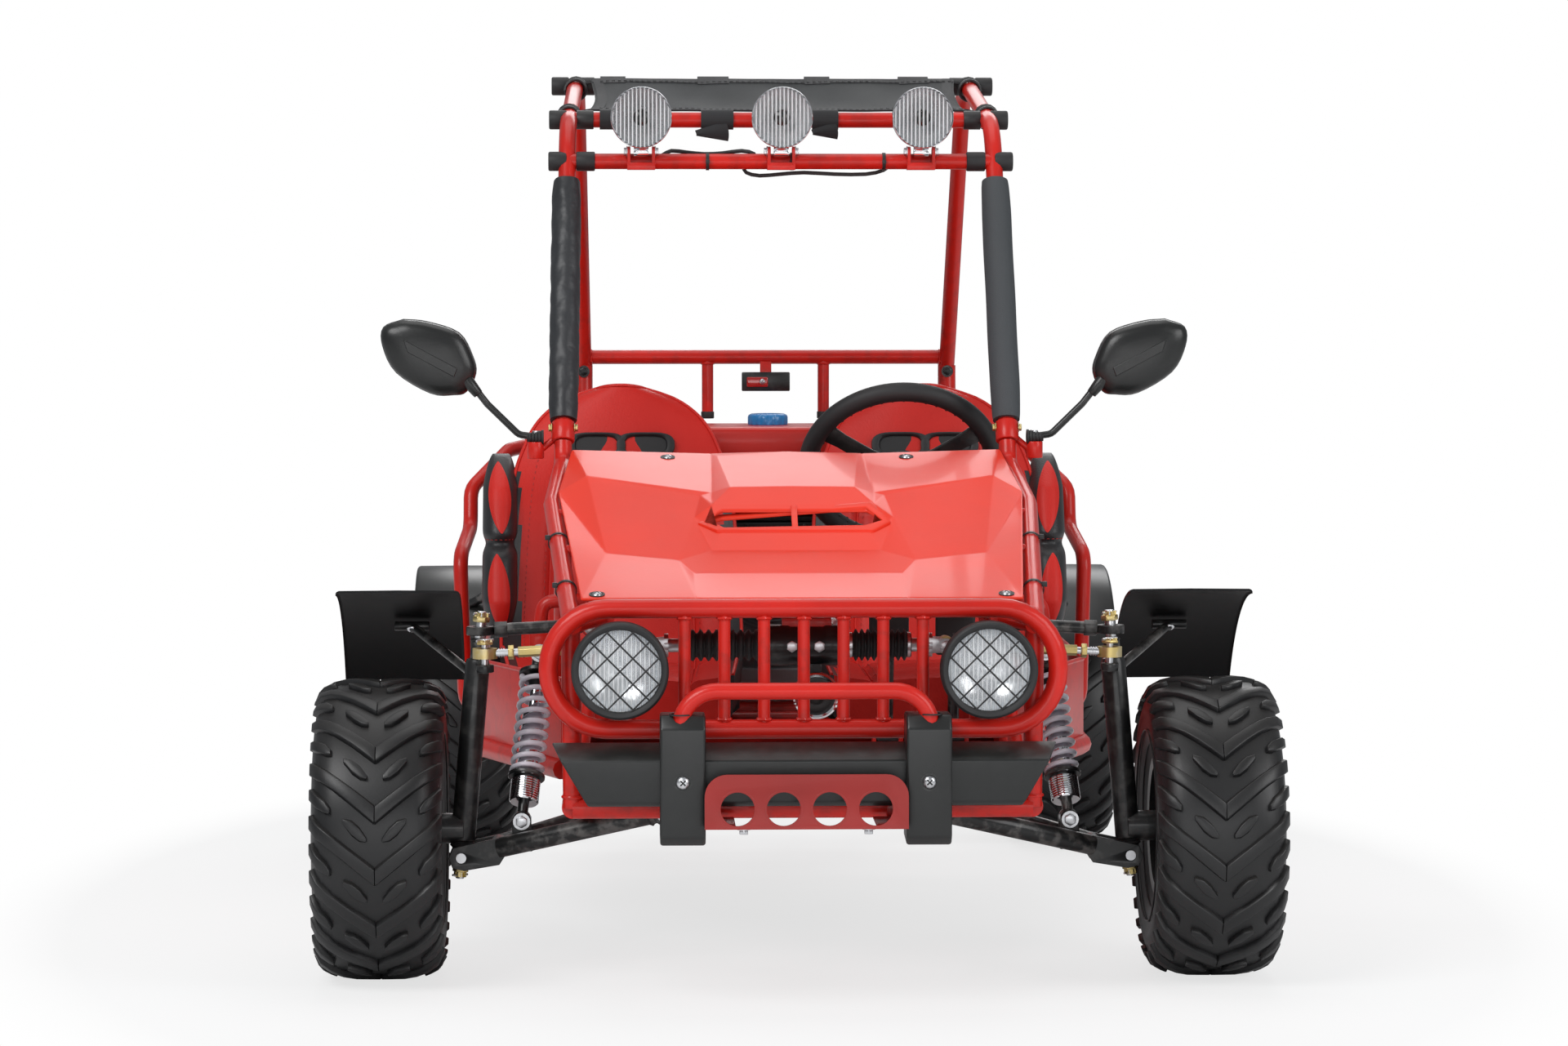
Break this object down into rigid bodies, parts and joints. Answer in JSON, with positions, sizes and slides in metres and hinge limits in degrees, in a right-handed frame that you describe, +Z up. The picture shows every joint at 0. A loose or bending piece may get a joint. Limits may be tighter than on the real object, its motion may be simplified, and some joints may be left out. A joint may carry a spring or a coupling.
{
  "type": "off road go kart",
  "caption": "Two-seat off road kart with tube frame, roll cage, faceted red hood, round lamps, double wishbone front and swing arm rear suspension.",
  "frame": {"origin": "ground, midway between the ends and the sides", "axes": "+Z up, -Y the way the kart drives, +X the driver's side"},
  "size_m": [1.126, 1.8056, 1.0911],
  "materials": {
    "tube_paint": "gloss red powder coat",
    "hood_paint": "bright red, satin gloss",
    "bumper_plastic": "satin black",
    "black_steel": "satin black paint",
    "rubber": "matte black",
    "tyre": "matte black, moulded lugs",
    "seat_vinyl": "red and black stitched vinyl",
    "pad_foam": "dark grey foam",
    "canvas": "dark grey woven cloth",
    "chrome": "polished",
    "spring_paint": "pale lilac grey",
    "zinc": "yellow zinc plate",
    "alloy": "cast, matte",
    "lens": "ribbed clear lens in a black rubber ring",
    "cap_plastic": "fluted blue",
    "tank_paint": "black"
  },
  "bodies": {
    "chassis": {"floor_frame": "tube_paint", "front_frame": "tube_paint", "bull_bar": "tube_paint", "front_bumper": "bumper_plastic", "skid_plate": "tube_paint", "hood_panel": "hood_paint", "roll_cage": "tube_paint", "pillar_pad_left": "pad_foam", "pillar_pad_right": "pad_foam", "roof_canvas": "canvas", "seat_left": "seat_vinyl", "seat_right": "seat_vinyl", "fuel_tank": "tank_paint", "engine": "alloy", "tail_lamp": "bumper_plastic", "rear_fenders": "bumper_plastic", "rack_housing": "rubber", "lamp_lead": "rubber"},
    "steering_wheel": {"steering_wheel": "rubber"},
    "steering_shaft": {"steering_shaft": "black_steel"},
    "rack": {"rack_bar": "alloy"},
    "fuel_cap": {"fuel_cap": "cap_plastic"},
    "swing_arm": {"swing_arm": "tube_paint"},
    "rear_axle": {"rear_axle": "black_steel", "rear_tyre_left": "tyre", "rear_tyre_right": "tyre"},
    "rear_shock_upper": {"rear_shock_upper": "black_steel", "rear_spring": "spring_paint"},
    "rear_shock_lower": {"rear_shock_lower": "chrome"},
    "roof_lamp_left": {"roof_lamp_left": "chrome"},
    "roof_lamp_centre": {"roof_lamp_centre": "chrome"},
    "roof_lamp_right": {"roof_lamp_right": "chrome"},
    "throttle_pedal": {"throttle_pedal": "black_steel"},
    "brake_pedal": {"brake_pedal": "black_steel"},
    "tie_rod_left": {"tie_rod_left": "zinc"},
    "lower_arm_left": {"lower_arm_left": "black_steel"},
    "upper_arm_left": {"upper_arm_left": "black_steel"},
    "lower_ball_joint_left": {"lower_ball_joint_left": "zinc"},
    "headlamp_left": {"headlamp_left": "lens"},
    "mirror_left": {"mirror_left": "bumper_plastic"},
    "knuckle_left": {"knuckle_left": "black_steel", "front_fender_left": "bumper_plastic"},
    "front_wheel_left": {"front_rim_left": "black_steel", "front_tyre_left": "tyre"},
    "front_shock_upper_left": {"front_shock_upper_left": "black_steel", "front_spring_left": "spring_paint"},
    "front_shock_lower_left": {"front_shock_lower_left": "chrome"},
    "tie_rod_right": {"tie_rod_right": "zinc"},
    "lower_arm_right": {"lower_arm_right": "black_steel"},
    "upper_arm_right": {"upper_arm_right": "black_steel"},
    "lower_ball_joint_right": {"lower_ball_joint_right": "zinc"},
    "headlamp_right": {"headlamp_right": "lens"},
    "mirror_right": {"mirror_right": "bumper_plastic"},
    "knuckle_right": {"knuckle_right": "black_steel", "front_fender_right": "bumper_plastic"},
    "front_wheel_right": {"front_rim_right": "black_steel", "front_tyre_right": "tyre"},
    "front_shock_upper_right": {"front_shock_upper_right": "black_steel", "front_spring_right": "spring_paint"},
    "front_shock_lower_right": {"front_shock_lower_right": "chrome"}
  },
  "joints": [
    {"name": "steering_turn", "type": "hinge", "parent": "chassis", "child": "steering_wheel", "pos_m": [0.152, -0.10475, 0.581], "axis": [0, 0.8192, 0.5736], "range_deg": [-105, 105]},
    {"name": "shaft_turn", "type": "hinge", "parent": "chassis", "child": "steering_shaft", "pos_m": [0.152, -0.22762, 0.49496], "axis": [0.2815, 0.9379, 0.2027], "range_deg": [-105, 105]},
    {"name": "rack_travel", "type": "slide", "parent": "chassis", "child": "rack", "axis": [1, 0, 0], "range_m": [-0.01791, 0.01791]},
    {"name": "lower_arm_lift_left", "type": "hinge", "parent": "chassis", "child": "lower_arm_left", "pos_m": [0.155, -0.58475, 0.207], "axis": [0, -1, 0], "range_deg": [0, 8], "stiffness_Nm_per_rad": 400, "springref_deg": -16.21},
    {"name": "upper_arm_lift_left", "type": "hinge", "parent": "chassis", "child": "upper_arm_left", "pos_m": [0.24, -0.58475, 0.418], "axis": [0, -1, 0], "range_deg": [0, 14.43]},
    {"name": "ball_joint_roll_left", "type": "hinge", "parent": "lower_arm_left", "child": "lower_ball_joint_left", "pos_m": [0.395, -0.58475, 0.144], "axis": [0, 1, 0], "range_deg": [0, 6.1]},
    {"name": "knuckle_steer_left", "type": "hinge", "parent": "lower_ball_joint_left", "child": "knuckle_left", "pos_m": [0.395, -0.58475, 0.144], "axis": [-0.0858, 0, 0.9963], "range_deg": [-17.51, 17.51]},
    {"name": "front_wheel_spin_left", "type": "hinge", "parent": "knuckle_left", "child": "front_wheel_left", "pos_m": [0.489, -0.58475, 0.1775], "axis": [1, 0, 0], "continuous": true},
    {"name": "tie_rod_lift_left", "type": "hinge", "parent": "rack", "child": "tie_rod_left", "pos_m": [0.172, -0.64475, 0.398], "axis": [0, -1, 0], "range_deg": [0, 9.79]},
    {"name": "front_shock_swing_left", "type": "hinge", "parent": "chassis", "child": "front_shock_upper_left", "pos_m": [0.304, -0.46975, 0.376], "axis": [-0.961, -0.2716, 0.0518], "range_deg": [0, 3.48]},
    {"name": "front_shock_press_left", "type": "slide", "parent": "front_shock_upper_left", "child": "front_shock_lower_left", "axis": [-0.0913, 0.4886, 0.8677], "range_m": [0, 0.0201], "deforming": ["front_spring_left"]},
    {"name": "headlamp_tilt_left", "type": "hinge", "parent": "chassis", "child": "headlamp_left", "pos_m": [0.208, -0.78975, 0.386], "axis": [1, 0, 0], "range_deg": [-5, 5]},
    {"name": "mirror_fold_left", "type": "hinge", "parent": "chassis", "child": "mirror_left", "pos_m": [0.312, -0.23275, 0.62], "axis": [0, 0, 1], "range_deg": [-15, 70]},
    {"name": "lower_arm_lift_right", "type": "hinge", "parent": "chassis", "child": "lower_arm_right", "pos_m": [-0.155, -0.58475, 0.207], "axis": [0, 1, 0], "range_deg": [0, 8], "stiffness_Nm_per_rad": 400, "springref_deg": -16.21},
    {"name": "upper_arm_lift_right", "type": "hinge", "parent": "chassis", "child": "upper_arm_right", "pos_m": [-0.24, -0.58475, 0.418], "axis": [0, 1, 0], "range_deg": [0, 14.43]},
    {"name": "ball_joint_roll_right", "type": "hinge", "parent": "lower_arm_right", "child": "lower_ball_joint_right", "pos_m": [-0.395, -0.58475, 0.144], "axis": [0, -1, 0], "range_deg": [0, 6.1]},
    {"name": "knuckle_steer_right", "type": "hinge", "parent": "lower_ball_joint_right", "child": "knuckle_right", "pos_m": [-0.395, -0.58475, 0.144], "axis": [0.0858, 0, 0.9963], "range_deg": [-17.51, 17.51]},
    {"name": "front_wheel_spin_right", "type": "hinge", "parent": "knuckle_right", "child": "front_wheel_right", "pos_m": [-0.489, -0.58475, 0.1775], "axis": [1, 0, 0], "continuous": true},
    {"name": "tie_rod_lift_right", "type": "hinge", "parent": "rack", "child": "tie_rod_right", "pos_m": [-0.172, -0.64475, 0.398], "axis": [0, 1, 0], "range_deg": [0, 9.79]},
    {"name": "front_shock_swing_right", "type": "hinge", "parent": "chassis", "child": "front_shock_upper_right", "pos_m": [-0.304, -0.46975, 0.376], "axis": [-0.961, 0.2716, -0.0518], "range_deg": [0, 3.48]},
    {"name": "front_shock_press_right", "type": "slide", "parent": "front_shock_upper_right", "child": "front_shock_lower_right", "axis": [0.0913, 0.4886, 0.8677], "range_m": [0, 0.0201], "deforming": ["front_spring_right"]},
    {"name": "headlamp_tilt_right", "type": "hinge", "parent": "chassis", "child": "headlamp_right", "pos_m": [-0.208, -0.78975, 0.386], "axis": [1, 0, 0], "range_deg": [-5, 5]},
    {"name": "mirror_fold_right", "type": "hinge", "parent": "chassis", "child": "mirror_right", "pos_m": [-0.312, -0.23275, 0.62], "axis": [0, 0, -1], "range_deg": [-15, 70]},
    {"name": "swing_arm_lift", "type": "hinge", "parent": "chassis", "child": "swing_arm", "pos_m": [0, 0.52525, 0.225], "axis": [1, 0, 0], "range_deg": [0, 8], "stiffness_Nm_per_rad": 1200, "springref_deg": -16.21},
    {"name": "rear_axle_spin", "type": "hinge", "parent": "swing_arm", "child": "rear_axle", "pos_m": [0, 0.72525, 0.1775], "axis": [1, 0, 0], "continuous": true},
    {"name": "rear_shock_swing", "type": "hinge", "parent": "chassis", "child": "rear_shock_upper", "pos_m": [0, 0.60125, 0.474], "axis": [1, 0, 0], "range_deg": [0, 0.4001]},
    {"name": "rear_shock_press", "type": "slide", "parent": "rear_shock_upper", "child": "rear_shock_lower", "axis": [0, -0.2659, 0.964], "range_m": [0, 0.01961], "deforming": ["rear_spring"]},
    {"name": "roof_lamp_tilt_right", "type": "hinge", "parent": "chassis", "child": "roof_lamp_right", "pos_m": [-0.179, -0.07975, 0.983], "axis": [1, 0, 0], "range_deg": [-15, 15]},
    {"name": "roof_lamp_tilt_centre", "type": "hinge", "parent": "chassis", "child": "roof_lamp_centre", "pos_m": [0, -0.07975, 0.983], "axis": [1, 0, 0], "range_deg": [-15, 15]},
    {"name": "roof_lamp_tilt_left", "type": "hinge", "parent": "chassis", "child": "roof_lamp_left", "pos_m": [0.179, -0.07975, 0.983], "axis": [1, 0, 0], "range_deg": [-15, 15]},
    {"name": "fuel_cap_turn", "type": "hinge", "parent": "chassis", "child": "fuel_cap", "pos_m": [0, 0.46525, 0.614], "axis": [0, 0, 1], "range_deg": [0, 90]},
    {"name": "throttle_pedal_press", "type": "hinge", "parent": "chassis", "child": "throttle_pedal", "pos_m": [0.116, -0.43475, 0.27], "axis": [1, 0, 0], "range_deg": [0, 18], "stiffness_Nm_per_rad": 6, "springref_deg": -17.19},
    {"name": "brake_pedal_press", "type": "hinge", "parent": "chassis", "child": "brake_pedal", "pos_m": [0.196, -0.43475, 0.27], "axis": [1, 0, 0], "range_deg": [0, 18], "stiffness_Nm_per_rad": 6, "springref_deg": -17.19}
  ],
  "couplings": [
    {"joint": "shaft_turn", "follows": "steering_turn", "ratio": 1},
    {"joint": "rack_travel", "follows": "steering_turn", "m_per_rad": 0.009768},
    {"joint": "upper_arm_lift_left", "follows": "lower_arm_lift_left", "ratio": 1.8032},
    {"joint": "ball_joint_roll_left", "follows": "lower_arm_lift_left", "ratio": 0.76223},
    {"joint": "knuckle_steer_left", "follows": "steering_turn", "ratio": 0.16667},
    {"joint": "tie_rod_lift_left", "follows": "lower_arm_lift_left", "ratio": 1.2232},
    {"joint": "front_shock_swing_left", "follows": "lower_arm_lift_left", "ratio": 0.4347},
    {"joint": "front_shock_press_left", "follows": "lower_arm_lift_left", "m_per_rad": 0.14397},
    {"joint": "upper_arm_lift_right", "follows": "lower_arm_lift_right", "ratio": 1.8032},
    {"joint": "ball_joint_roll_right", "follows": "lower_arm_lift_right", "ratio": 0.76223},
    {"joint": "knuckle_steer_right", "follows": "steering_turn", "ratio": 0.16667},
    {"joint": "tie_rod_lift_right", "follows": "lower_arm_lift_right", "ratio": 1.2232},
    {"joint": "front_shock_swing_right", "follows": "lower_arm_lift_right", "ratio": 0.4347},
    {"joint": "front_shock_press_right", "follows": "lower_arm_lift_right", "m_per_rad": 0.14397},
    {"joint": "rear_shock_swing", "follows": "swing_arm_lift", "ratio": 0.05},
    {"joint": "rear_shock_press", "follows": "swing_arm_lift", "m_per_rad": 0.14044}
  ]
}
